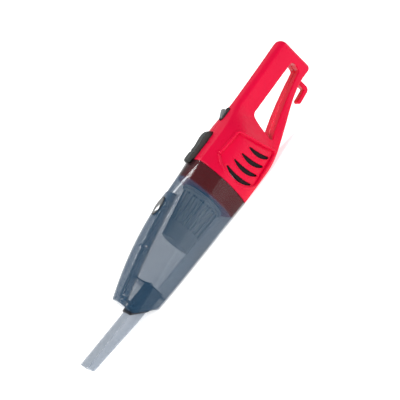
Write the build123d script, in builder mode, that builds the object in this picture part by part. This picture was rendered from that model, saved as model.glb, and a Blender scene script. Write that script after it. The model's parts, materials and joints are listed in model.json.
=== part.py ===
from build123d import *
import math
import os

# Corded handheld vacuum cleaner, lying on its flat underside.
# +X runs from the crevice tool to the handle, +Z is the side with the switch and the
# cup lever, and Y is across the body, which is symmetric about Y = 0. Millimetres.

os.makedirs("parts", exist_ok=True)

# ---- driving dimensions -------------------------------------------------------------
LENGTH = 600.0
TIP_X = -LENGTH / 2
END_X = LENGTH / 2
SEAM_X = 54.0  # the cup's rim meets the housing here
STEP_X = -10.0  # beyond here the cup's front drops away on both sides of the ridge
NOSE_X = -191.0  # the cup's blunt end
BODY_HALF = 48.5
HANDLE_HALF = 17.0
HOUSING_WALL = 2.5
CUP_WALL = 2.0
LOOSE_GAP = 0.3  # between pieces of different bodies that don't touch
RUN_GAP = 0.05  # radial clearance of a turning pin
ACROSS = Plane.YZ  # sections across the body: local x is Y, local y is Z


def ease(x, start, end):
    """Goes smoothly from 0 at start to 1 at end."""
    t = min(max((x - start) / (end - start), 0.0), 1.0)
    return t * t * (3 - 2 * t)


def between(x, start, end, first, last):
    """Straight-line value at x, first at start and last at end."""
    return first + (last - first) * (x - start) / (end - start)


def cross_section(x, top, crease, widest, foot, corners, inset):
    """Outline across the body: crowned front, two creases, bulging sides, flat foot."""
    top -= inset
    crease = (crease[0] - 0.6 * inset, crease[1] - inset)
    widest = (widest[0] - inset, widest[1])
    foot = (foot[0] - 0.5 * inset, foot[1] + inset)
    crease_round, foot_round = [max(radius - 0.6 * inset, 1.0) for radius in corners]
    with BuildSketch(ACROSS.offset(x), mode=Mode.PRIVATE) as outline:
        with BuildLine():
            ThreePointArc((-crease[0], crease[1]), (0, top), crease)
            ThreePointArc(crease, widest, foot)
            Line(foot, (-foot[0], foot[1]))
            ThreePointArc((-foot[0], foot[1]), (-widest[0], widest[1]), (-crease[0], crease[1]))
        make_face()
        fillet(outline.vertices().sort_by(Axis.Y)[2:], crease_round)
        fillet(outline.vertices().sort_by(Axis.Y)[:2], foot_round)
    return outline.sketch


# ---- housing shape ------------------------------------------------------------------
BLEND_START, BLEND_END = 118.0, 178.0  # the body narrows into the handle here
RISE_START, RISE_END = 110.0, 286.0  # the rear line rises here
BODY_STATIONS = (SEAM_X, 86, RISE_START, *range(118, 161, 6))
HANDLE_STATIONS = (166, 172, 178, 200, 220, 240, 260, 276, 288)
END_ROUND = 9.0
END_STATIONS = [END_X - END_ROUND * (1 - math.sin(math.radians(a))) for a in (15, 35, 55, 72)]


def front_z(x):
    """Height of the housing's front line."""
    run = x - SEAM_X
    return 105.5 + 0.045 * run + 0.0001 * run * run


def rear_z(x):
    """Height of the housing's rear line: flat under the body, rising under the handle."""
    return 52.5 * ease(x, RISE_START, RISE_END)


def foot_half(x):
    """Half the width of the rear face, which tapers along the body and along the handle's bar."""
    return 31 - 8 * ease(x, SEAM_X, BLEND_START) - 8 * ease(x, 190, 290)


def recess_depth(x):
    """How far the vent panel is sunk: nothing near the cup, deepest near the handle."""
    return 4.5 * ease(x, 50, 115)


def housing_section(x, inset=0.0, sunk=False):
    """Section of the housing at x; sunk follows the floor of the vent recess."""
    body = 1 - ease(x, BLEND_START, BLEND_END)
    half = HANDLE_HALF + (BODY_HALF - HANDLE_HALF) * body
    if sunk:
        inset += 0.4 * recess_depth(x)
        half -= 0.6 * recess_depth(x)
    if x > END_X - END_ROUND:
        inset += END_ROUND - math.sqrt(END_ROUND**2 - (x - END_X + END_ROUND) ** 2)
    return cross_section(
        x,
        front_z(x),
        (15.0 + 16 * body, front_z(x) - 4),
        (half, (front_z(x) + rear_z(x)) / 2),
        (foot_half(x), rear_z(x)),
        (9 - 6 * body, 4 - body),
        inset,
    )


def front_plane(x):
    """Plane lying on the housing's front line at x, with its local x along the body."""
    slope = math.atan(0.045 + 0.0002 * (x - SEAM_X))
    along = (math.cos(slope), 0, math.sin(slope))
    outward = (-math.sin(slope), 0, math.cos(slope))
    return Plane((x, 0, front_z(x)), along, outward)


# ---- cup shape ----------------------------------------------------------------------
CUP_STATIONS = (NOSE_X, -160, -128, -93, -56, STEP_X)
RIDGE_STATIONS = (NOSE_X - 1, -150, -100, -50, STEP_X)


def cup_section(x, inset=0.0, full_front=True):
    """Section of the dust cup at x, with its full front or cut down beside the ridge."""
    along = (SEAM_X - x) / (SEAM_X - NOSE_X)
    drop = STEP_X - x
    if x >= STEP_X:
        crease = (between(x, STEP_X, SEAM_X, 28, 31), between(x, STEP_X, SEAM_X, 90, 101.5))
    else:
        crease = (28 - 0.02 * drop, 90 - 0.19 * drop - 0.0004 * drop * drop)
    top = between(x, STEP_X, SEAM_X, 100.5, 105.5) if full_front else crease[1] + 2.5
    widest = (BODY_HALF - 16.5 * max(along, 0) ** 1.2, 52.7 - 35 * along)
    foot = (31 + 3.5 * ease(-x, 10, 80) - 3.5 * ease(-x, 120, -NOSE_X), 0)
    return cross_section(x, top, crease, widest, foot, (3, 3), inset)


def ridge_crown(x):
    """Height of the ridge's front line."""
    drop = STEP_X - x
    return 100.5 - 0.065 * drop - 0.00103 * drop * drop


def ridge_half(x):
    """Half the ridge's width at its front."""
    return between(x, STEP_X, NOSE_X, 18.5, 21.0)


def ridge_section(x, inset=0.0):
    """Section of the ridge on the cup's front, reaching down into the cup's top."""
    crown, half = ridge_crown(x) - inset, ridge_half(x) - inset
    base = max(ridge_crown(x) - 22, 30)
    with BuildSketch(ACROSS.offset(x), mode=Mode.PRIVATE) as outline:
        with BuildLine():
            ThreePointArc((-half, crown - 2), (0, crown), (half, crown - 2))
            Polyline((half, crown - 2), (half + 3, base), (-half - 3, base), (-half, crown - 2))
        make_face()
        fillet(outline.vertices().sort_by(Axis.Y)[2:], 3 - inset)
    return outline.sketch


def prism(outline, half_width):
    """Polygon given as (x, z) points, extruded to both sides of the middle plane."""
    with BuildPart(mode=Mode.PRIVATE) as solid:
        with BuildSketch(Plane.XZ):
            with BuildLine():
                Polyline(*outline, close=True)
            make_face()
        extrude(amount=half_width, both=True)
    return solid.part


def disc(x, z, radius, thickness, bore=0.0):
    """Disc or ring across the body, from x towards the handle."""
    with BuildPart(mode=Mode.PRIVATE) as solid:
        with BuildSketch(ACROSS.offset(x)):
            with Locations((0, z)):
                Circle(radius)
                if bore:
                    Circle(bore, mode=Mode.SUBTRACT)
        extrude(amount=thickness)
    return solid.part


def cross_pin(x, z, radius, half_length, bore=0.0):
    """Round pin or sleeve along Y, centred on the middle plane."""
    with BuildPart(mode=Mode.PRIVATE) as solid:
        with BuildSketch(Plane.XZ):
            with Locations((x, z)):
                Circle(radius)
                if bore:
                    Circle(bore, mode=Mode.SUBTRACT)
        extrude(amount=half_length, both=True)
    return solid.part


def save(piece, name):
    """Labels a finished piece and writes its file."""
    piece.part.label = name
    export_step(piece.part, f"parts/{name}.step")


# ---- shapes that several pieces are cut from ----------------------------------------
with BuildPart() as housing_shape:
    loft([housing_section(x) for x in (*BODY_STATIONS, *HANDLE_STATIONS, *END_STATIONS)], ruled=True)

with BuildPart() as sunk_shape:
    loft([housing_section(x, 0, True) for x in BODY_STATIONS], ruled=True)

with BuildPart() as cavity:
    loft([housing_section(x, HOUSING_WALL, True) for x in BODY_STATIONS], ruled=True)

FOAM_STATIONS = (70, *BODY_STATIONS[1:7])

with BuildPart() as foam_outer:
    loft([housing_section(x, HOUSING_WALL + 0.4, True) for x in FOAM_STATIONS], ruled=True)

with BuildPart() as foam_inner:
    loft([housing_section(x, HOUSING_WALL + 3.4, True) for x in FOAM_STATIONS], ruled=True)

CUP_RIM_X = SEAM_X - LOOSE_GAP
NOSE_SLOPE = ((-160.5, 0), (NOSE_X, 27.5))  # the blunt end's cut-back lower corner


def nose_corner(shift):
    """Prism under the sloping corner of the nose, moved outwards by -shift."""
    (rear_x, rear), (end_x, end) = NOSE_SLOPE
    slope = math.atan2(end - rear, rear_x - end_x)
    move_x, move_z = shift * math.sin(slope), shift * math.cos(slope)
    reach = 30
    return prism(
        (
            (rear_x + reach + move_x, rear - reach * math.tan(slope) + move_z),
            (end_x - reach + move_x, end + reach * math.tan(slope) + move_z),
            (end_x - 2 * reach, rear - reach),
        ),
        BODY_HALF + 10,
    )


with BuildPart() as cup_shape:
    loft([cup_section(x) for x in (STEP_X, 22, CUP_RIM_X)])
    loft([cup_section(x, full_front=False) for x in CUP_STATIONS])
    add(nose_corner(0), mode=Mode.SUBTRACT)

INSIDE_STATIONS = (NOSE_X + CUP_WALL, *CUP_STATIONS[1:-1], STEP_X + CUP_WALL)

with BuildPart() as cup_inside:
    loft([cup_section(x, CUP_WALL, False) for x in INSIDE_STATIONS])
    add(nose_corner(CUP_WALL), mode=Mode.SUBTRACT)
    loft([cup_section(x, CUP_WALL) for x in (STEP_X + CUP_WALL, 22, CUP_RIM_X)])

with BuildPart() as ridge_shape:
    loft([ridge_section(x) for x in RIDGE_STATIONS])

with BuildPart() as ridge_inside:
    loft([ridge_section(x, 1.8) for x in (NOSE_X + 1, *RIDGE_STATIONS[1:-1], STEP_X)])

# ---- finger gap, vents and seats in the housing ---------------------------------------
GAP_HEEL, GAP_HEAD = (161.5, 28), (279.5, 66)
GAP_CORNER, GAP_END = (173, 78), (285, 85)

with BuildPart() as finger_gap:
    with BuildSketch(Plane.XZ) as gap_outline:
        with BuildLine():
            ThreePointArc(GAP_HEEL, (163.8, 50), GAP_CORNER)
            Polyline(GAP_CORNER, GAP_END, GAP_HEAD)
            ThreePointArc(GAP_HEAD, (211, 46.5), GAP_HEEL)
        make_face()
        fillet(gap_outline.vertices().sort_by(Axis.X)[0], 2)
        fillet(gap_outline.vertices().sort_by(Axis.Y)[-2], 10)
        fillet(gap_outline.vertices().sort_by(Axis.Y)[-1], 6)
    extrude(amount=60, both=True)

with BuildPart() as vent_panel:
    with BuildSketch(Plane.XZ) as panel_outline:
        with BuildLine():
            Line((80, 87), (128, 86))
            ThreePointArc((128, 86), (136, 56), (152, 13))
            Line((152, 13), (86, 6))
            ThreePointArc((86, 6), (62, 42), (80, 87))
        make_face()
        fillet(panel_outline.vertices(), 4)
    extrude(amount=60, both=True)

SLOT_COUNT = 4
with BuildPart() as vent_slots:
    with BuildSketch(Plane.XZ):
        for i in range(SLOT_COUNT):
            high = (122 - 15.3 * i, 60.4 + 3.4 * i)
            low = (137 - 18 * i, 14.6 - 1.2 * i)
            middle_x = 122.8 - 17.5 * i
            middle_z = (high[1] + low[1]) / 2
            with BuildLine():
                ThreePointArc(high, (middle_x - 4, middle_z), low)
                ThreePointArc(low, (middle_x + 4, middle_z), high)
            make_face()
    extrude(amount=60, both=True)

LEVER_X, LEVER_LENGTH, LEVER_WIDTH = 76.0, 66.0, 18.0
LEVER_PIN = (76.0, 103.0)  # x and z of the lever's axis
WELL_FLOOR_Z = 98.0
SWITCH_X, BEZEL_LENGTH, BEZEL_WIDTH = 144.6, 26.0, 15.0
INLET_Z, INLET_OUTER, CORD_BORE = 104.0, 6.0, 3.5

with BuildPart() as lever_well:
    with BuildSketch(Plane.XY.offset(WELL_FLOOR_Z)):
        with Locations((LEVER_X, 0)):
            SlotOverall(LEVER_LENGTH + 1, LEVER_WIDTH + 1)
    extrude(amount=30)

SCREWS = ((112, 8), (124, 100), (170, 97), (288, 94), (290, 66), (150, 17.5))  # x and z
SCREW_HEAD_Y = 8.0

MOTOR_Z = 52.0
STATOR_R = 30.0
RIB_X = (97, 119)


# ---- housing halves, split on the middle plane ----------------------------------------
with BuildPart() as fittings:
    # bottom of the well that the lever sits in
    with BuildSketch(Plane.XY.offset(WELL_FLOOR_Z - 2.5)):
        with Locations((LEVER_X, 0)):
            SlotOverall(LEVER_LENGTH + 5, LEVER_WIDTH + 5)
    extrude(amount=12)
    # ribs that carry the motor
    for rib_x in RIB_X:
        with BuildSketch(ACROSS.offset(rib_x)):
            with Locations((0, MOTOR_Z)):
                Rectangle(66, 120)
                Circle(STATOR_R + 0.1, mode=Mode.SUBTRACT)
        extrude(amount=2)
    # bosses that the screws hold together
    for screw_x, screw_z in SCREWS:
        add(cross_pin(screw_x, screw_z, 4.2, 30))
    add(housing_shape.part, mode=Mode.INTERSECT)

with BuildPart() as shell:
    add(housing_shape.part)
    add(cavity.part, mode=Mode.SUBTRACT)
    add(prism(((150, 88), (283, 91), (283, 110), (150, 104)), 11), mode=Mode.SUBTRACT)
    add(fittings.part)
    add(finger_gap.part, mode=Mode.SUBTRACT)
    add(lever_well.part, mode=Mode.SUBTRACT)
    add(vent_slots.part, mode=Mode.SUBTRACT)
    # window under the switch, seat of the cord bush, and hole for the lever's pin
    with BuildSketch(front_plane(SWITCH_X).offset(-12)):
        RectangleRounded(BEZEL_LENGTH - 5, 8, 2)
    extrude(amount=20, mode=Mode.SUBTRACT)
    add(disc(END_X - 18, INLET_Z, INLET_OUTER, 20), mode=Mode.SUBTRACT)
    add(cross_pin(*LEVER_PIN, 1.5, 13), mode=Mode.SUBTRACT)

with BuildPart() as recess:
    add(vent_panel.part)
    add(housing_shape.part, mode=Mode.INTERSECT)
    add(sunk_shape.part, mode=Mode.SUBTRACT)

with BuildPart() as housing_left:
    add(shell.part)
    add(recess.part, mode=Mode.SUBTRACT)
    for screw_x, screw_z in SCREWS:
        add(cross_pin(screw_x, screw_z, 1.2, 12), mode=Mode.SUBTRACT)
    split(bisect_by=Plane.XZ, keep=Keep.TOP)
save(housing_left, "housing_left")

with BuildPart() as housing_right:
    add(shell.part)
    add(recess.part, mode=Mode.SUBTRACT)
    with BuildSketch(Plane.XZ.offset(-SCREW_HEAD_Y)):
        with Locations(*SCREWS):
            Circle(3.3)
    extrude(amount=-60, mode=Mode.SUBTRACT)
    for screw_x, screw_z in SCREWS:
        add(cross_pin(screw_x, screw_z, 1.6, 12), mode=Mode.SUBTRACT)
    split(bisect_by=Plane.XZ, keep=Keep.BOTTOM)
save(housing_right, "housing_right")

with BuildPart() as shell_screws:
    for screw_x, screw_z in SCREWS:
        with BuildSketch(Plane.XZ.offset(-SCREW_HEAD_Y)):
            with Locations((screw_x, screw_z)):
                Circle(3.0)
        extrude(amount=-2.2)
        with BuildSketch(Plane.XZ.offset(-SCREW_HEAD_Y)):
            with Locations((screw_x, screw_z)):
                Circle(1.2)
        extrude(amount=SCREW_HEAD_Y + 10)
        with BuildSketch(Plane.XZ.offset(-SCREW_HEAD_Y - 2.2)):
            with Locations((screw_x, screw_z)):
                Rectangle(3.6, 0.8)
                Rectangle(0.8, 3.6)
        extrude(amount=1.2, mode=Mode.SUBTRACT)
save(shell_screws, "shell_screws")

# ---- cord inlet and hook ---------------------------------------------------------------
with BuildPart() as cord_bush:
    add(disc(END_X - 18, INLET_Z, INLET_OUTER, 17.6, CORD_BORE))
    chamfer(cord_bush.edges().filter_by(GeomType.CIRCLE).sort_by(Axis.X)[-1], 0.6)
save(cord_bush, "cord_bush")

HOOK_THICK, HOOK_HALF = 7.5, 8.0
with BuildPart() as cord_hook:
    with BuildSketch(Plane.XZ) as hook_outline:
        with BuildLine():
            FilletPolyline((270.5, 58), (270.5, 33.5), (243, 29), radius=5)
        trace(line_width=HOOK_THICK)
        fillet(hook_outline.vertices().sort_by(Axis.X)[:2], 3.5)
    extrude(amount=HOOK_HALF, both=True)
    fillet(cord_hook.faces().filter_by(Axis.Y).edges(), 2)
    add(housing_shape.part, mode=Mode.SUBTRACT)
    add(finger_gap.part, mode=Mode.SUBTRACT)
save(cord_hook, "cord_hook")

# ---- slide switch ------------------------------------------------------------------------
SWITCH_PLANE = front_plane(SWITCH_X)
STEM_BACK = -2.5  # the slider's stem stands this far from the bezel's middle when off

with BuildPart() as switch_bezel:
    with BuildSketch(SWITCH_PLANE.offset(-1.5)):
        SlotOverall(BEZEL_LENGTH, BEZEL_WIDTH)
    extrude(amount=3.7)
    fillet(switch_bezel.faces().sort_by(Axis.Z)[-1].edges(), 1)
    with BuildSketch(SWITCH_PLANE.offset(-2)):
        RectangleRounded(BEZEL_LENGTH - 3.6, BEZEL_WIDTH - 5, 2)
    extrude(amount=6, mode=Mode.SUBTRACT)
    add(housing_shape.part, mode=Mode.SUBTRACT)
save(switch_bezel, "switch_bezel")

with BuildPart() as switch_slider:
    # thumb piece: a ramp that rises towards the handle
    with BuildSketch(Plane(SWITCH_PLANE.origin, SWITCH_PLANE.x_dir, (0, -1, 0))):
        with BuildLine():
            Polyline((-9.5, 0.6), (-9.5, 2.6), (2.5, 8.2), (5.2, 7.6), (5.2, 0.6), close=True)
        make_face()
    extrude(amount=4.6, both=True)
    fillet(switch_slider.edges().filter_by(Axis.Y), 0.8)
    # stem through the window to the switch
    with BuildSketch(SWITCH_PLANE.offset(-9)):
        with Locations((STEM_BACK, 0)):
            Rectangle(9, 5)
    extrude(amount=9.8)
save(switch_slider, "switch_slider")

with BuildPart() as switch_body:
    with BuildSketch(SWITCH_PLANE.offset(-24)):
        Rectangle(23, 14)
    extrude(amount=15)
    with BuildSketch(SWITCH_PLANE.offset(-12)):
        Rectangle(20, 7)
    extrude(amount=6, mode=Mode.SUBTRACT)
save(switch_body, "switch_body")

# ---- lever that lets the cup go ---------------------------------------------------------
with BuildPart() as release_lever:
    with BuildSketch(Plane.XZ) as lever_outline:
        with BuildLine():
            Polyline((43, 106.2), (43.5, 111), (46.5, 112.6), (62, 113.2), (64, 111.8), (67, 113.6))
            Spline((67, 113.6), (88, 115.8), (103, 114.9), (108.6, 110))
            Polyline((108.6, 110), (108.6, 104.2), (82, 100.6), (70, 100.6), (54.5, 101.5))
            Polyline((54.5, 101.5), (54.5, 106.2), (43, 106.2))
        make_face()
    extrude(amount=LEVER_WIDTH, both=True)
    # claw that hooks over the cup's rim
    with BuildSketch(Plane.XY.offset(104.8)):
        with Locations((49, 0)):
            Rectangle(3.5, 7)
    extrude(amount=3)
    with BuildSketch(Plane.XY.offset(WELL_FLOOR_Z)):
        with Locations((LEVER_X, 0)):
            SlotOverall(LEVER_LENGTH, LEVER_WIDTH)
    extrude(amount=30, mode=Mode.INTERSECT)
    add(cross_pin(*LEVER_PIN, 1.5 + RUN_GAP, 20), mode=Mode.SUBTRACT)
save(release_lever, "release_lever")

with BuildPart() as lever_pin:
    add(cross_pin(*LEVER_PIN, 1.5, 12.5))
save(lever_pin, "lever_pin")

SPRING_X = 99.0
with BuildPart() as lever_spring:
    with BuildSketch(Plane.XY.offset(WELL_FLOOR_Z)):
        with Locations((SPRING_X, 0)):
            Circle(3.5)
            Circle(2.7, mode=Mode.SUBTRACT)
    extrude(amount=4.2)
save(lever_spring, "lever_spring")

# ---- motor and fan ------------------------------------------------------------------------
SHROUD_X, SHROUD_R = 67.0, 39.0
SHAFT_R = 2.5
BEARING_R = 8.0
REAR_BRACKET_X = 133.0

with BuildPart() as front_mount:
    add(disc(60.5, MOTOR_Z, SHROUD_R, SHROUD_X - 60.5, 33))
save(front_mount, "front_mount")

with BuildPart() as fan_shroud:
    add(disc(SHROUD_X, MOTOR_Z, SHROUD_R, 19))
    add(disc(SHROUD_X + 1.5, MOTOR_Z, SHROUD_R - 1.5, 16), mode=Mode.SUBTRACT)
    add(disc(SHROUD_X - 1, MOTOR_Z, 14, 4), mode=Mode.SUBTRACT)
    add(disc(SHROUD_X + 10, MOTOR_Z, BEARING_R, 12), mode=Mode.SUBTRACT)
    with BuildSketch(ACROSS.offset(SHROUD_X + 10)):
        with Locations((0, MOTOR_Z)):
            with PolarLocations(28, 8):
                SlotOverall(14, 6, rotation=90)
    extrude(amount=12, mode=Mode.SUBTRACT)
save(fan_shroud, "fan_shroud")

BLADES = 9
with BuildPart() as impeller:
    add(disc(80, MOTOR_Z, 35, 1.5))
    add(disc(71, MOTOR_Z, 35, 1.2, 13))
    add(disc(71, MOTOR_Z, 6, 10))
    with BuildSketch(ACROSS.offset(71.5)):
        with Locations((0, MOTOR_Z)):
            with PolarLocations(21, BLADES):
                Rectangle(26, 1.4, rotation=28)
    extrude(amount=9)
    add(disc(70, MOTOR_Z, SHAFT_R, 13), mode=Mode.SUBTRACT)
save(impeller, "impeller")

with BuildPart() as rotor:
    add(disc(69, MOTOR_Z, SHAFT_R, 72))
    add(disc(95, MOTOR_Z, 19, 24))
    add(disc(121, MOTOR_Z, 9, 9))
save(rotor, "rotor")

with BuildPart() as front_bearing:
    add(disc(SHROUD_X + 17.5, MOTOR_Z, BEARING_R, 6, SHAFT_R + RUN_GAP))
save(front_bearing, "front_bearing")

with BuildPart() as rear_bearing:
    add(disc(REAR_BRACKET_X, MOTOR_Z, BEARING_R, 6, SHAFT_R + RUN_GAP))
save(rear_bearing, "rear_bearing")

with BuildPart() as stator:
    add(disc(93, MOTOR_Z, STATOR_R, 28, 19.6))
save(stator, "stator")

with BuildPart() as motor_frame:
    add(disc(86, MOTOR_Z, STATOR_R, 7, 27))
    add(disc(121, MOTOR_Z, STATOR_R, 15, 27))
    add(disc(REAR_BRACKET_X, MOTOR_Z, STATOR_R, 3, BEARING_R))
    with BuildSketch(ACROSS.offset(REAR_BRACKET_X - 1)):
        with Locations((0, MOTOR_Z)):
            with PolarLocations(18, 6):
                Circle(5)
    extrude(amount=6, mode=Mode.SUBTRACT)
save(motor_frame, "motor_frame")

with BuildPart() as brushes:
    with BuildSketch(Plane.XZ.offset(9.1)):
        with Locations((125.5, MOTOR_Z)):
            Rectangle(7, 6)
    extrude(amount=15)
    mirror(about=Plane.XZ)
save(brushes, "brushes")

with BuildPart() as rear_mount:
    add(disc(REAR_BRACKET_X + 6, MOTOR_Z, BEARING_R + 3, 5, 5))
    add(disc(REAR_BRACKET_X + 3, MOTOR_Z, BEARING_R + 3, 3, BEARING_R))
save(rear_mount, "rear_mount")

with BuildPart() as exhaust_foam:
    add(vent_panel.part)
    add(foam_outer.part, mode=Mode.INTERSECT)
    add(foam_inner.part, mode=Mode.SUBTRACT)
    add(fittings.part, mode=Mode.SUBTRACT)
save(exhaust_foam, "exhaust_foam")

# ---- collar, seal and intake grille ---------------------------------------------------
COLLAR_X, COLLAR_END = 22.0, 56.0
SEAL_X, SEAL_WIDTH = 34.0, 4.0
SPIGOT_Z, SPIGOT_R = 48.0, 30.0

with BuildPart() as seal_shape:
    loft([cup_section(x, CUP_WALL + LOOSE_GAP) for x in (SEAL_X, SEAL_X + SEAL_WIDTH)])

with BuildPart() as seal_seat:
    loft([cup_section(x, CUP_WALL + 1.6) for x in (SEAL_X - 0.1, SEAL_X + SEAL_WIDTH + 0.1)])

with BuildPart() as collar:
    loft([cup_section(x, CUP_WALL + 0.7) for x in (COLLAR_X, COLLAR_END)])
    loft([cup_section(x, CUP_WALL + 3.2) for x in (COLLAR_X + 3, COLLAR_END)], mode=Mode.SUBTRACT)
    with BuildSketch(ACROSS.offset(COLLAR_X - 1)):
        with Locations((0, SPIGOT_Z)):
            Circle(SPIGOT_R)
    extrude(amount=5, mode=Mode.SUBTRACT)
    add(seal_shape.part, mode=Mode.SUBTRACT)
    add(seal_seat.part)
    # the tongue inside the housing leaves room for the lever's well
    with BuildSketch(ACROSS.offset(SEAM_X)):
        with Locations((0, WELL_FLOOR_Z + 2)):
            Rectangle(LEVER_WIDTH + 6, 12)
    extrude(amount=COLLAR_END - SEAM_X, mode=Mode.SUBTRACT)
save(collar, "collar")

with BuildPart() as cup_seal:
    add(seal_shape.part)
    add(seal_seat.part, mode=Mode.SUBTRACT)
save(cup_seal, "cup_seal")

with BuildPart() as intake_grille:
    add(disc(8, SPIGOT_Z, SPIGOT_R, 17, SPIGOT_R - 2))
    with BuildSketch(ACROSS.offset(COLLAR_X)):
        with Locations((0, SPIGOT_Z)):
            Circle(SPIGOT_R)
            with PolarLocations(18, 8):
                SlotOverall(18, 9, mode=Mode.SUBTRACT)
            Circle(5, mode=Mode.SUBTRACT)
    extrude(amount=2.5)
save(intake_grille, "intake_grille")

# ---- filter basket and pleated filter -------------------------------------------------
FILTER_BASE = (14.0, 48.0, 34.0)  # x, z of the middle, and radius at the wide end
FILTER_END = (-64.0, 38.0, 25.5)
BASKET_WALL = 1.8
CAP_X = -38.0  # the basket is closed from here to its small end


def cone_circle(x, inset=0.0):
    """Circle of the basket's leaning cone at x."""
    with BuildSketch(ACROSS.offset(x), mode=Mode.PRIVATE) as circle:
        with Locations((0, between(x, FILTER_BASE[0], FILTER_END[0], FILTER_BASE[1], FILTER_END[1]))):
            Circle(between(x, FILTER_BASE[0], FILTER_END[0], FILTER_BASE[2], FILTER_END[2]) - inset)
    return circle.sketch


with BuildPart() as filter_basket:
    loft([cone_circle(FILTER_END[0]), cone_circle(FILTER_BASE[0])])
    basket_hollow = [cone_circle(x, BASKET_WALL) for x in (FILTER_END[0] + BASKET_WALL, FILTER_BASE[0])]
    loft(basket_hollow, mode=Mode.SUBTRACT)
    # long windows that the pleats show through
    with BuildSketch(ACROSS.offset(CAP_X)):
        with Locations((0, 44)):
            with PolarLocations(34, 16):
                Rectangle(26, 8)
    extrude(amount=FILTER_BASE[0] - 4 - CAP_X, mode=Mode.SUBTRACT)
    add(disc(FILTER_BASE[0], FILTER_BASE[1], 37.5, 4, SPIGOT_R + LOOSE_GAP))
save(filter_basket, "filter_basket")

with BuildPart() as pleated_filter:
    loft([cone_circle(FILTER_END[0] + 2, 2.1), cone_circle(FILTER_BASE[0] - 0.2, 2.1)])
    loft([cone_circle(FILTER_END[0] + 2, 6), cone_circle(FILTER_BASE[0] - 0.2, 5)], mode=Mode.SUBTRACT)
    add(disc(7, FILTER_BASE[1], SPIGOT_R + LOOSE_GAP, 8), mode=Mode.SUBTRACT)
save(pleated_filter, "pleated_filter")

# ---- inlet neck, its bulkhead and the flap ----------------------------------------------
NECK_Z = 17.5
NECK_START, NECK_END = NOSE_X - 5, -141.0
TOOL_WIDTH, TOOL_HEIGHT = 35.0, 19.0
TOOL_GAP = 0.2
NECK_WALL = 2.3


def tube_outline(x, width, height, z, rounding):
    """Rounded rectangle across the body at x."""
    with BuildSketch(ACROSS.offset(x), mode=Mode.PRIVATE) as outline:
        with Locations((0, z)):
            RectangleRounded(width, height, rounding)
    return outline.sketch


with BuildPart() as neck_shape:
    outer_neck = tube_outline(NECK_START, TOOL_WIDTH + 2 * NECK_WALL, TOOL_HEIGHT + 2 * NECK_WALL, NECK_Z, 3)
    extrude(outer_neck, amount=NECK_END - NECK_START)
    add(nose_corner(-4), mode=Mode.SUBTRACT)

FLAP_HINGE = (NECK_END + 1.9, 31.6)  # x and z
EAR_Y = 18.6
FLAP_PIN_R = 0.9
LATCH_X = -180.0
TOOTH = (4.0, 9.0)  # along and across the body
TOOTH_WINDOW = (TOOTH[0] + 5, TOOTH[1] + 2)  # the tooth swings along the body as it lifts

with BuildPart() as inlet_neck:
    loft([cup_section(x, CUP_WALL + 0.15, False) for x in (-146, -144)])
    add(neck_shape.part)
    # two ears that hold the flap's pin
    for side in (-1, 1):
        with BuildSketch(Plane.XZ.offset(side * EAR_Y)):
            with Locations((FLAP_HINGE[0] - 1.6, FLAP_HINGE[1])):
                Rectangle(7, 5.4)
        extrude(amount=1, both=True)
    neck_bore = tube_outline(NECK_START, TOOL_WIDTH + 2 * TOOL_GAP, TOOL_HEIGHT + 2 * TOOL_GAP, NECK_Z, 1.8)
    extrude(neck_bore, amount=NECK_END - NECK_START, mode=Mode.SUBTRACT)
    # window for the latch's tooth
    with BuildSketch(Plane.XY.offset(NECK_Z)):
        with Locations((LATCH_X, 0)):
            Rectangle(*TOOTH_WINDOW)
    extrude(amount=20, mode=Mode.SUBTRACT)
    add(cross_pin(*FLAP_HINGE, FLAP_PIN_R, 30), mode=Mode.SUBTRACT)
save(inlet_neck, "inlet_neck")

with BuildPart() as flap_pin:
    add(cross_pin(*FLAP_HINGE, FLAP_PIN_R, EAR_Y + 1))
save(flap_pin, "flap_pin")

with BuildPart() as inlet_flap:
    with BuildSketch(ACROSS.offset(NECK_END + LOOSE_GAP)) as flap_outline:
        with Locations((0, NECK_Z)):
            Rectangle(38.6, 22)
        fillet(flap_outline.vertices(), 3)
        with Locations((0, FLAP_HINGE[1] - 3)):
            Rectangle(30, 6)
    extrude(amount=1.6)
    add(cross_pin(*FLAP_HINGE, FLAP_PIN_R + 0.9, 17))
    with BuildSketch(ACROSS.offset(NECK_END - 5)):
        with Locations((0, FLAP_HINGE[1])):
            Rectangle(40, 12)
    extrude(amount=5 + LOOSE_GAP / 2, mode=Mode.SUBTRACT)
    add(cross_pin(*FLAP_HINGE, FLAP_PIN_R + RUN_GAP, 20), mode=Mode.SUBTRACT)
save(inlet_flap, "inlet_flap")

# ---- dust cup and its ridge ---------------------------------------------------------------
with BuildPart() as dust_cup:
    add(cup_shape.part)
    add(cup_inside.part, mode=Mode.SUBTRACT)
    add(neck_shape.part, mode=Mode.SUBTRACT)
    # shallow channel under the lever's claw, open at the rim
    with BuildSketch(Plane.XY.offset(104.3)):
        with Locations((50.5, 0)):
            Rectangle(9, 8)
    extrude(amount=4, mode=Mode.SUBTRACT)
    # slot for the latch's tooth
    with BuildSketch(Plane.XY.offset(NECK_Z)):
        with Locations((LATCH_X, 0)):
            Rectangle(*TOOTH_WINDOW)
    extrude(amount=40, mode=Mode.SUBTRACT)
save(dust_cup, "dust_cup")

BUTTON_X, BUTTON_LENGTH, BUTTON_WIDTH = -37.0, 30.0, 20.0
SURROUND_WIDTH = 1.8
LINK_PIVOT = (-100.0, 76.2)  # x and z
LINK_HIGH, LINK_LOW = (-40.0, 91.9), (-178.0, 53.9)  # ends of the link's front edge
LINK_DEPTH = 1.9
SURROUND_INNER = (BUTTON_LENGTH / 2 + LOOSE_GAP, BUTTON_WIDTH / 2 + LOOSE_GAP)
SURROUND_OUTER = (SURROUND_INNER[0] + SURROUND_WIDTH, SURROUND_INNER[1] + SURROUND_WIDTH)

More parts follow.
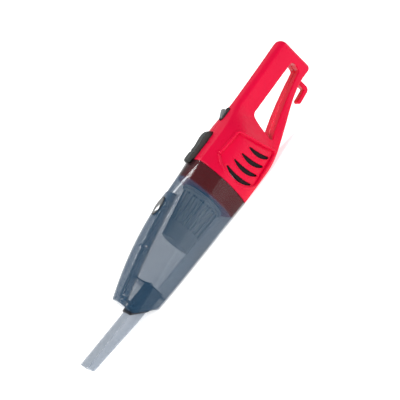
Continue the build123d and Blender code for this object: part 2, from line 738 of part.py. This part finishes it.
BUTTON_SLOPE = math.atan2(ridge_crown(-20) - ridge_crown(-50), 30)
BUTTON_PLANE = Plane(
    (BUTTON_X, 0, ridge_crown(BUTTON_X)),
    (math.cos(BUTTON_SLOPE), 0, math.sin(BUTTON_SLOPE)),
    (-math.sin(BUTTON_SLOPE), 0, math.cos(BUTTON_SLOPE)),
)

with BuildPart() as ridge_cover:
    add(ridge_shape.part)
    add(ridge_inside.part, mode=Mode.SUBTRACT)
    add(cup_shape.part, mode=Mode.SUBTRACT)
    with BuildSketch(BUTTON_PLANE.offset(-8)):
        Ellipse(*SURROUND_OUTER)
    extrude(amount=12, mode=Mode.SUBTRACT)
    add(cross_pin(*LINK_PIVOT, 1.5, 30), mode=Mode.SUBTRACT)
save(ridge_cover, "ridge_cover")

with BuildPart() as button_surround:
    with BuildSketch(BUTTON_PLANE.offset(-3.5)):
        Ellipse(*SURROUND_OUTER)
        Ellipse(*SURROUND_INNER, mode=Mode.SUBTRACT)
    extrude(amount=4)
save(button_surround, "button_surround")

with BuildPart() as tool_button:
    with BuildSketch(BUTTON_PLANE.offset(-3)):
        Ellipse(BUTTON_LENGTH / 2, BUTTON_WIDTH / 2)
    extrude(amount=5)
    fillet(tool_button.faces().sort_by(Axis.Z)[-1].edges(), 2.4)
    with BuildSketch(BUTTON_PLANE.offset(-5.1)):
        with Locations((-7, 0)):
            Rectangle(4, 6)
    extrude(amount=3.1)
save(tool_button, "tool_button")

with BuildPart() as button_spring:
    with BuildSketch(BUTTON_PLANE.offset(-9)):
        with Locations((5, 0)):
            Circle(3.5)
            Circle(2.7, mode=Mode.SUBTRACT)
    extrude(amount=5.9)
    add(cup_shape.part, mode=Mode.SUBTRACT)
save(button_spring, "button_spring")

with BuildPart() as latch_link:
    add(
        prism(
            (
                LINK_HIGH,
                LINK_LOW,
                (LINK_LOW[0], LINK_LOW[1] - LINK_DEPTH),
                (LINK_HIGH[0], LINK_HIGH[1] - LINK_DEPTH),
            ),
            5,
        )
    )
    add(cross_pin(*LINK_PIVOT, 3.4, 6))
    with BuildSketch(Plane.XY.offset(NECK_Z + TOOL_HEIGHT / 2 + LOOSE_GAP)):
        with Locations((LATCH_X, 0)):
            Rectangle(*TOOTH)
    extrude(amount=LINK_LOW[1] - 1 - (NECK_Z + TOOL_HEIGHT / 2 + LOOSE_GAP))
    add(cross_pin(*LINK_PIVOT, 1.5 + RUN_GAP, 20), mode=Mode.SUBTRACT)
save(latch_link, "latch_link")

with BuildPart() as link_pin:
    add(cross_pin(*LINK_PIVOT, 1.5, 17.5))
save(link_pin, "link_pin")

# ---- crevice tool ---------------------------------------------------------------------------
TOOL_END = -152.0  # how far the tool reaches into the neck
TOOL_SHOULDER = NOSE_X - 6  # the tool widens from here to its tip
TIP_WIDTH, TIP_HEIGHT, TIP_Z = 41.0, 12.2, 19.7
TOOL_WALL = 1.7

with BuildPart() as crevice_tool:
    extrude(tube_outline(TOOL_END, TOOL_WIDTH, TOOL_HEIGHT, NECK_Z, 1.6), amount=TOOL_SHOULDER - TOOL_END)
    loft(
        [
            tube_outline(TOOL_SHOULDER, TOOL_WIDTH, TOOL_HEIGHT, NECK_Z, 1.6),
            tube_outline(TIP_X, TIP_WIDTH, TIP_HEIGHT, TIP_Z, 1.6),
        ]
    )
    bore = tube_outline(TOOL_END, TOOL_WIDTH - 2 * TOOL_WALL, TOOL_HEIGHT - 2 * TOOL_WALL, NECK_Z, 0.8)
    extrude(bore, amount=TOOL_SHOULDER - TOOL_END, mode=Mode.SUBTRACT)
    loft(
        [
            tube_outline(TOOL_SHOULDER, TOOL_WIDTH - 2 * TOOL_WALL, TOOL_HEIGHT - 2 * TOOL_WALL, NECK_Z, 0.8),
            tube_outline(TIP_X, TIP_WIDTH - 2 * TOOL_WALL, TIP_HEIGHT - 2 * TOOL_WALL, TIP_Z, 0.8),
        ],
        mode=Mode.SUBTRACT,
    )
    # the mouth is cut back on its rear side
    cut_back = ((TIP_X, 26), (TIP_X + 4.5, 13), (TIP_X + 4.5, 0), (TIP_X - 5, 0), (TIP_X - 5, 26))
    add(prism(cut_back, TIP_WIDTH), mode=Mode.SUBTRACT)
save(crevice_tool, "crevice_tool")
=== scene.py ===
import bmesh
import bpy
import json
import math
import numpy as np
from mathutils import Matrix, Vector
from mathutils.bvhtree import BVHTree


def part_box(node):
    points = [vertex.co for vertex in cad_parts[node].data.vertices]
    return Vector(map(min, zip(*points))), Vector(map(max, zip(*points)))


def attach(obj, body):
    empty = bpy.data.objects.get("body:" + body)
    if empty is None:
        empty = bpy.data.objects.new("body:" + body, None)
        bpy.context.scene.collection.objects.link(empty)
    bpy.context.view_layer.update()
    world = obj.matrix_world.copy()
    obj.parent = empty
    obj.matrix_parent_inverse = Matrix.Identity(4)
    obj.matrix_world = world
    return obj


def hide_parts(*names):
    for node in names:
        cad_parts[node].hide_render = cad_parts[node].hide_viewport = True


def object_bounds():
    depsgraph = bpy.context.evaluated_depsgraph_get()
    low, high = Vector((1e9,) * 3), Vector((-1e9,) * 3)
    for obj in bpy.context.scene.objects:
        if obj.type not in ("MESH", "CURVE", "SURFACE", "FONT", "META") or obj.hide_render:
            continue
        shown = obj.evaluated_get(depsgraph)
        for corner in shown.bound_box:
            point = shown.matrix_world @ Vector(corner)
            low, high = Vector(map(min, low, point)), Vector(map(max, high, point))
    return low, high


# A corded handheld vacuum cleaner on a pale studio floor. Metres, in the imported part's frame: +X from
# the crevice tool to the handle, +Z the side with the switch and the cup lever, -Y the side on show.

MM = 0.001
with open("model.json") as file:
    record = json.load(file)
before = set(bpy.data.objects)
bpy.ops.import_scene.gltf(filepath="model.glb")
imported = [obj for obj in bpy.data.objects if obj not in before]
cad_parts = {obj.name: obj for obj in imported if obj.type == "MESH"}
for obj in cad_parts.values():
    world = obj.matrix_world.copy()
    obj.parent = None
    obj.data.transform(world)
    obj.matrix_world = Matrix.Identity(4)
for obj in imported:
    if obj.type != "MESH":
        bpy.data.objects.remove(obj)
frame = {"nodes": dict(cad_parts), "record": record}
cad_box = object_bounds()
nodes = frame["nodes"]
bodies = frame["record"]["behaviour"]["bodies"]
body_of_node = {node: body for body, members in bodies.items() for node in members}


# ---- camera -------------------------------------------------------------------------
AZIMUTH, ELEVATION, ROLL = (math.radians(a) for a in (-12.82, 16.67, -46.75))
DISTANCE = 1.65
LENS = 94.0
AIM_SHIFT = Vector((15.2, 0, -9.4)) * MM  # from the middle of the part to what the camera looks at
FAR_CLIP = 200


def add_camera():
    """Camera that looks at the part from its -Y side, a little from above, and rolled."""
    low, high = cad_box
    target = (low + high) / 2 + AIM_SHIFT
    level = math.cos(ELEVATION)
    back = Vector((math.sin(AZIMUTH) * level, -math.cos(AZIMUTH) * level, math.sin(ELEVATION)))
    right = Vector((math.cos(AZIMUTH), math.sin(AZIMUTH), 0))
    up = back.cross(right)
    rolled_right = right * math.cos(ROLL) + up * math.sin(ROLL)
    rolled_up = up * math.cos(ROLL) - right * math.sin(ROLL)
    camera = bpy.data.objects.new("camera", bpy.data.cameras.new("camera"))
    bpy.context.scene.collection.objects.link(camera)
    turned = Matrix((rolled_right, rolled_up, back)).transposed().to_4x4()
    camera.matrix_world = Matrix.Translation(target + back * DISTANCE) @ turned
    camera.data.lens = LENS
    camera.data.clip_end = FAR_CLIP
    bpy.context.scene.camera = camera


add_camera()


# ---- materials ----------------------------------------------------------------------
def new_material(name):
    """Empty node material, its Principled shader, and the functions that add and link its nodes."""
    made = bpy.data.materials.new(name)
    made.use_nodes = True
    tree = made.node_tree
    shader = tree.nodes["Principled BSDF"]

    def node(kind, **sockets):
        added = tree.nodes.new(kind)
        for socket, value in sockets.items():
            added.inputs[socket.replace("_", " ")].default_value = value
        return added

    return made, shader, node, tree.links.new


def noise(node, link, size, detail=2.0):
    """Noise with features of about that size in metres, fixed to the piece."""
    where = node("ShaderNodeTexCoord")
    texture = node("ShaderNodeTexNoise", Scale=1 / size, Detail=detail)
    link(where.outputs["Object"], texture.inputs["Vector"])
    return texture.outputs["Fac"]


def spread(node, link, factor, low, high):
    """Maps a noise factor onto the range from low to high."""
    scaled = node("ShaderNodeMapRange", From_Min=0.3, From_Max=0.7, To_Min=low, To_Max=high)
    link(factor, scaled.inputs["Value"])
    return scaled.outputs["Result"]


def moulded_material(
    name, colour, roughness, drift=0.06, patch=0.03, grain=0.0006, depth=0.00001, gloss=0.5, metal=0.0
):
    """Moulded or machined surface. Its colour drifts a little from patch to patch, and a grain of the
    given size and depth breaks up its gloss."""
    made, shader, node, link = new_material(name)
    shade = node("ShaderNodeMix")
    shade.data_type = "RGBA"
    shade.inputs["A"].default_value = (*[c * (1 - drift) for c in colour], 1)
    shade.inputs["B"].default_value = (*[min(c * (1 + drift), 1) for c in colour], 1)
    link(spread(node, link, noise(node, link, patch), 0.0, 1.0), shade.inputs["Factor"])
    link(shade.outputs["Result"], shader.inputs["Base Color"])
    gloss_patches = spread(node, link, noise(node, link, patch / 3), roughness * 0.88, roughness * 1.12)
    link(gloss_patches, shader.inputs["Roughness"])
    bump = node("ShaderNodeBump", Strength=1.0, Distance=depth)
    link(noise(node, link, grain, 3.0), bump.inputs["Height"])
    link(bump.outputs["Normal"], shader.inputs["Normal"])
    shader.inputs["Specular IOR Level"].default_value = gloss
    shader.inputs["Metallic"].default_value = metal
    return made


TINT_BLEND = 2 * MM


def smoke_material(name, colour, facing_alpha, edge_alpha, rim_colour=None, rim_x=0.0):
    """Clear tinted plastic that hides more of what is behind it where it is seen edge on. With a
    rim_colour, its tint turns to that within 2 mm of rim_x metres along the part."""
    made, shader, node, link = new_material(name)
    shader.inputs["Base Color"].default_value = (*colour, 1)
    if rim_colour:
        where = node("ShaderNodeTexCoord")
        split = node("ShaderNodeSeparateXYZ")
        link(where.outputs["Object"], split.inputs["Vector"])
        share = node(
            "ShaderNodeMapRange", From_Min=rim_x - TINT_BLEND, From_Max=rim_x + TINT_BLEND
        )
        link(split.outputs["X"], share.inputs["Value"])
        tint = node("ShaderNodeMix")
        tint.data_type = "RGBA"
        tint.inputs["A"].default_value = (*colour, 1)
        tint.inputs["B"].default_value = (*rim_colour, 1)
        link(share.outputs["Result"], tint.inputs["Factor"])
        link(tint.outputs["Result"], shader.inputs["Base Color"])
    link(spread(node, link, noise(node, link, 0.02), 0.08, 0.14), shader.inputs["Roughness"])
    facing = node("ShaderNodeLayerWeight", Blend=0.35)
    alpha = node("ShaderNodeMapRange", From_Min=0.3, To_Min=facing_alpha, To_Max=edge_alpha)
    link(facing.outputs["Facing"], alpha.inputs["Value"])
    link(alpha.outputs["Result"], shader.inputs["Alpha"])
    return made


RED = moulded_material("red_plastic", (0.75, 0.0005, 0.042), 0.3, 0.03, 0.05, 0.0008, 0.000006, 0.16)
# painted shade: a darker copy of the housing's red, for the collar and its seal under the cup's rim
SHADED_RED = moulded_material("shaded_red_plastic", (0.50, 0.012, 0.02), 0.4, 0.05, 0.04, gloss=0.2)
COLLAR_X = 22 * MM  # the cup's rim lies over the red collar from here
SMOKE = smoke_material(
    "smoke_plastic", (0.028, 0.090, 0.170), 0.40, 0.97, (0.02, 0.012, 0.016), COLLAR_X
)
DARK_SMOKE = smoke_material("dark_smoke_plastic", (0.008, 0.009, 0.016), 0.75, 0.98)
TOOL_SMOKE = smoke_material("tool_plastic", (0.38, 0.435, 0.51), 0.5, 0.86)
GRAPHITE = moulded_material(
    "graphite_plastic", (0.026, 0.031, 0.029), 0.4, 0.12, 0.004, 0.0012, 0.00012
)
GREY = moulded_material("grey_plastic", (0.17, 0.185, 0.19), 0.4, 0.08, 0.006)
BLACK = moulded_material("black_plastic", (0.015, 0.016, 0.018), 0.35, 0.15, 0.01)
SILVER = moulded_material(
    "silver_finish", (0.52, 0.53, 0.54), 0.16, 0.03, 0.01, 0.0004, 0.000004, metal=0.9
)
STEEL = moulded_material(
    "turned_steel", (0.55, 0.55, 0.57), 0.35, 0.08, 0.004, 0.0005, 0.00001, metal=1.0
)
COPPER = moulded_material(
    "wound_copper", (0.55, 0.25, 0.11), 0.4, 0.15, 0.002, 0.0007, 0.00008, metal=1.0
)
RUBBER = moulded_material("black_rubber", (0.025, 0.025, 0.027), 0.75, 0.15, 0.006, 0.0008, 0.00003)
FOAM = moulded_material("dark_foam", (0.006, 0.004, 0.005), 0.95, 0.4, 0.002, 0.0012, 0.0005)
PAPER = moulded_material("filter_paper", (0.58, 0.57, 0.50), 0.9, 0.12, 0.01, 0.0009, 0.00006)
BASKET = moulded_material("basket_plastic", (0.42, 0.41, 0.365), 0.45, 0.06, 0.02)

SLOT_MATERIALS = {
    "red": RED,
    "smoke": SMOKE,
    "dark_smoke": DARK_SMOKE,
    "graphite": GRAPHITE,
    "grey": GREY,
    "black": BLACK,
    "silver": SILVER,
    "steel": STEEL,
    "copper": COPPER,
    "rubber": RUBBER,
    "foam": FOAM,
    "pleats": PAPER,
    "basket": BASKET,
}
slot_of_node = {part["node"]: part["material_slot"] for part in frame["record"]["subparts"]}

# the collar and its seal get a darker red than the housing: painted shade for the cup's tinted rim that
# lies over them
NODE_MATERIALS = {"collar": SHADED_RED, "cup_seal": SHADED_RED}

for name, piece in nodes.items():
    for material_slot in piece.material_slots:
        material_slot.material = NODE_MATERIALS.get(name, SLOT_MATERIALS[slot_of_node[name]])


# ---- pieces made from CAD nodes -----------------------------------------------------
def add_piece(name, mesh, node, material):
    """Links a finished mesh as a piece that stands for a CAD node and rides with it."""
    piece = bpy.data.objects.new(name, mesh)
    bpy.context.scene.collection.objects.link(piece)
    mesh.materials.clear()
    mesh.materials.append(material)
    mesh.shade_smooth()
    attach(piece, body_of_node[node])
    return piece


WELD_DISTANCE = 1e-6


def soften(name, node, voxel, passes, material=None):
    """Piece in place of a CAD node, with its edges rounded as a mould leaves them. The voxel size and
    the smoothing passes set how round they are."""
    work = bpy.data.objects.new(name, nodes[node].data.copy())
    bpy.context.scene.collection.objects.link(work)
    weld = bmesh.new()
    weld.from_mesh(work.data)
    bmesh.ops.remove_doubles(weld, verts=weld.verts, dist=WELD_DISTANCE)
    weld.to_mesh(work.data)
    weld.free()
    remesh = work.modifiers.new("remesh", "REMESH")
    remesh.mode = "VOXEL"
    remesh.voxel_size = voxel
    smooth = work.modifiers.new("smooth", "SMOOTH")
    smooth.factor = 0.5
    smooth.iterations = passes
    mesh = bpy.data.meshes.new_from_object(work.evaluated_get(bpy.context.evaluated_depsgraph_get()))
    bpy.data.objects.remove(work)
    slot = slot_of_node[node]
    piece = add_piece(name, mesh, node, material or SLOT_MATERIALS[slot])
    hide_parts(node)
    return piece


left_shell = soften("left_shell", "housing_left", 1.0 * MM, 12)
right_shell = soften("right_shell", "housing_right", 1.0 * MM, 12)
soften("hook", "cord_hook", 0.5 * MM, 10)
soften("lever", "release_lever", 0.4 * MM, 10)
soften("switch_thumb_piece", "switch_slider", 0.25 * MM, 5)
soften("tool_release_button", "tool_button", 0.3 * MM, 8)
soften("tool", "crevice_tool", 0.7 * MM, 4, TOOL_SMOKE)


# ---- lips beside the vent slots, and the rim of the sunk panel ----------------------
SLOT_COUNT = 4
LIP_RADIUS = 1.4 * MM
RIM_RADIUS = 2.4 * MM
LIP_POINTS = 31
RIM_SMOOTHING = 4
OUTSIDE_Y = 100 * MM  # clear of the body on either side


def arc_through(first, middle, last, count):
    """Points along the circle through three (x, z) points."""
    (x1, z1), (x2, z2), (x3, z3) = first, middle, last
    d = 2 * (x1 * (z2 - z3) + x2 * (z3 - z1) + x3 * (z1 - z2))
    s1, s2, s3 = x1 * x1 + z1 * z1, x2 * x2 + z2 * z2, x3 * x3 + z3 * z3
    cx = (s1 * (z2 - z3) + s2 * (z3 - z1) + s3 * (z1 - z2)) / d
    cz = (s1 * (x3 - x2) + s2 * (x1 - x3) + s3 * (x2 - x1)) / d
    radius = math.hypot(x1 - cx, z1 - cz)
    start, end = (math.atan2(z - cz, x - cx) % math.tau for x, z in (first, last))
    return [
        (cx + radius * math.cos(a), cz + radius * math.sin(a)) for a in np.linspace(start, end, count)
    ]


def tube(points, radii, sides=10):
    """Mesh of a round tube along points, with its own radius at each."""
    made = bmesh.new()
    rings = []
    turns = [math.tau * k / sides for k in range(sides)]
    for i, (point, radius) in enumerate(zip(points, radii)):
        along = (points[min(i + 1, len(points) - 1)] - points[max(i - 1, 0)]).normalized()
        across = along.cross(Vector((0, 1, 0))).normalized()
        over = across.cross(along)
        spokes = [across * math.cos(turn) + over * math.sin(turn) for turn in turns]
        rings.append([made.verts.new(point + spoke * radius) for spoke in spokes])
    for first, second in zip(rings, rings[1:]):
        for k in range(sides):
            n = (k + 1) % sides
            made.faces.new((first[k], first[n], second[n], second[k]))
    made.faces.new(rings[0])
    made.faces.new(reversed(rings[-1]))
    bmesh.ops.recalc_face_normals(made, faces=made.faces)
    mesh = bpy.data.meshes.new("tube")
    made.to_mesh(mesh)
    made.free()
    return mesh


def on_surface(surface, side, x, z):
    """Point of a shell's outside at x and z in millimetres, on one side of the body."""
    outside = Vector((x * MM, side * OUTSIDE_Y, z * MM))
    point = surface.ray_cast(outside, Vector((0, -side, 0)))[0] or surface.find_nearest(outside)[0]
    widest = cad_box[1].y - RIM_RADIUS
    point.y = max(min(point.y, widest), -widest)
    return point


def add_lips(shell, side, node):
    """Raised lips along the slots' edges nearest the cup, on one side of the body."""
    side_name = node.removeprefix("housing_")
    surface = BVHTree.FromObject(shell, bpy.context.evaluated_depsgraph_get())
    for i in range(SLOT_COUNT):
        # ends and middle of the slot's front edge, as x and z in millimetres
        high = (122 - 15.3 * i, 60.4 + 3.4 * i)
        low = (137 - 18 * i, 14.6 - 1.2 * i)
        middle = (122.8 - 17.5 * i - 5, (high[1] + low[1]) / 2)
        first, last = (high[0] - 0.6, high[1] + 2), (low[0] + 0.5, low[1] - 1.5)
        path = arc_through(first, middle, last, LIP_POINTS)
        points = [on_surface(surface, side, x, z) for x, z in path]
        shares = [k / (LIP_POINTS - 1) for k in range(LIP_POINTS)]
        radii = [LIP_RADIUS * (0.25 + 0.75 * math.sin(math.pi * share) ** 0.5) for share in shares]
        add_piece(f"vent_lip_{side_name}_{i + 1}", tube(points, radii), node, RED)


def straight(first, last, count):
    """Points along a straight run, without its last point."""
    return [tuple(a + (b - a) * k / count for a, b in zip(first, last)) for k in range(count)]


def add_rim(shell, side, node):
    """Raised rim round the sunk vent panel, on one side of the body."""
    side_name = node.removeprefix("housing_")
    surface = BVHTree.FromObject(shell, bpy.context.evaluated_depsgraph_get())
    # corners of the panel, as x and z in millimetres
    front_top, back_top, back_low, front_low = (80, 88), (129, 87), (153, 12.5), (86, 5)
    path = straight(front_top, back_top, 16)
    path += arc_through(back_top, (137, 56), back_low, 30)[:-1]
    path += straight(back_low, front_low, 20)
    path += arc_through(front_low, (61, 42), front_top, 30)
    points = [on_surface(surface, side, x, z) for x, z in path]
    for _ in range(RIM_SMOOTHING):
        points[1:-1] = [(a + b * 2 + c) / 4 for a, b, c in zip(points, points[1:], points[2:])]
    add_piece(f"vent_rim_{side_name}", tube(points, [RIM_RADIUS] * len(points)), node, RED)


for shell, side, node in ((left_shell, -1, "housing_left"), (right_shell, 1, "housing_right")):
    add_lips(shell, side, node)
    add_rim(shell, side, node)


# ---- pleated filter -----------------------------------------------------------------
PLEATS = 44
PLEAT_STEPS = 6  # points round each fold
PLEAT_RINGS = 13  # rings from one end of the cone to the other
PLEAT_DEPTH = 2.6 * MM
PAPER_THICKNESS = 0.5 * MM


def pleated_cone(node):
    """Mesh of folded paper that fills a CAD node's hollow cone."""
    low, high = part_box(node)
    verts = np.array([v.co for v in nodes[node].data.vertices])
    ends = []
    for x in (low.x, high.x):
        ring = verts[abs(verts[:, 0] - x) < 0.5 * MM]
        middle = (ring[:, 1:].min(0) + ring[:, 1:].max(0)) / 2
        ends.append((x, middle, np.linalg.norm(ring[:, 1:] - middle, axis=1).max()))
    made = bmesh.new()
    steps = PLEATS * PLEAT_STEPS
    skins = []
    for inset in (0.0, PAPER_THICKNESS):
        rings = []
        for share in np.linspace(0, 1, PLEAT_RINGS):
            x, (y, z), radius = [a + (b - a) * share for a, b in zip(*ends)]
            ring = []
            for k in range(steps):
                fold = 0.5 + 0.5 * math.cos(math.tau * k / PLEAT_STEPS)
                r = radius - inset - PLEAT_DEPTH * (1 - fold)
                turn = math.tau * k / steps
                ring.append(made.verts.new((x, y + r * math.cos(turn), z + r * math.sin(turn))))
            rings.append(ring)
        skins.append(rings)
    outer, inner = skins
    for rings in skins:
        for first, second in zip(rings, rings[1:]):
            for k in range(steps):
                n = (k + 1) % steps
                made.faces.new((first[k], first[n], second[n], second[k]))
    for end in (0, -1):
        for k in range(steps):
            n = (k + 1) % steps
            made.faces.new((outer[end][k], outer[end][n], inner[end][n], inner[end][k]))
    bmesh.ops.recalc_face_normals(made, faces=made.faces)
    mesh = bpy.data.meshes.new("pleats")
    made.to_mesh(mesh)
    made.free()
    return mesh


cone = pleated_cone("pleated_filter")
filter_pleats = add_piece("filter_pleats", cone, "pleated_filter", PAPER)
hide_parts("pleated_filter")


# ---- floor and light ----------------------------------------------------------------
FLOOR_HALF = 60.0


def add_floor():
    """Large pale floor under the part."""
    z = cad_box[0].z
    corners = [(x, y, z) for x, y in ((-1, -1), (1, -1), (1, 1), (-1, 1))]
    mesh = bpy.data.meshes.new("floor")
    mesh.from_pydata([(x * FLOOR_HALF, y * FLOOR_HALF, z) for x, y, z in corners], [], [(0, 1, 2, 3)])
    floor = bpy.data.objects.new("floor", mesh)
    bpy.context.scene.collection.objects.link(floor)
    made, shader, _, _ = new_material("floor_paint")
    shader.inputs["Base Color"].default_value = (0.86, 0.86, 0.86, 1)
    shader.inputs["Roughness"].default_value = 0.9
    shader.inputs["Specular IOR Level"].default_value = 0.1
    shader.inputs["Emission Color"].default_value = (1, 1, 1, 1)
    shader.inputs["Emission Strength"].default_value = 0.7
    mesh.materials.append(made)


def add_sun(name, towards, strength, softness):
    """Very soft distant lamp that shines from that direction."""
    lamp = bpy.data.objects.new(name, bpy.data.lights.new(name, "SUN"))
    bpy.context.scene.collection.objects.link(lamp)
    lamp.data.energy = strength
    lamp.data.angle = math.radians(softness)
    lamp.matrix_world = Vector(towards).to_track_quat("Z", "Y").to_matrix().to_4x4()


def add_world(strength):
    """Plain pale surroundings."""
    world = bpy.data.worlds.new("studio")
    world.use_nodes = True
    world.node_tree.nodes["Background"].inputs["Color"].default_value = (1, 1, 1, 1)
    world.node_tree.nodes["Background"].inputs["Strength"].default_value = strength
    bpy.context.scene.world = world


add_floor()
add_sun("key", (-0.4, -0.6, 0.8), 1.35, 24)
add_sun("top", (-0.1, 0.6, 1.0), 1.5, 20)
add_world(0.36)
bpy.context.scene.view_settings.view_transform = "Standard"
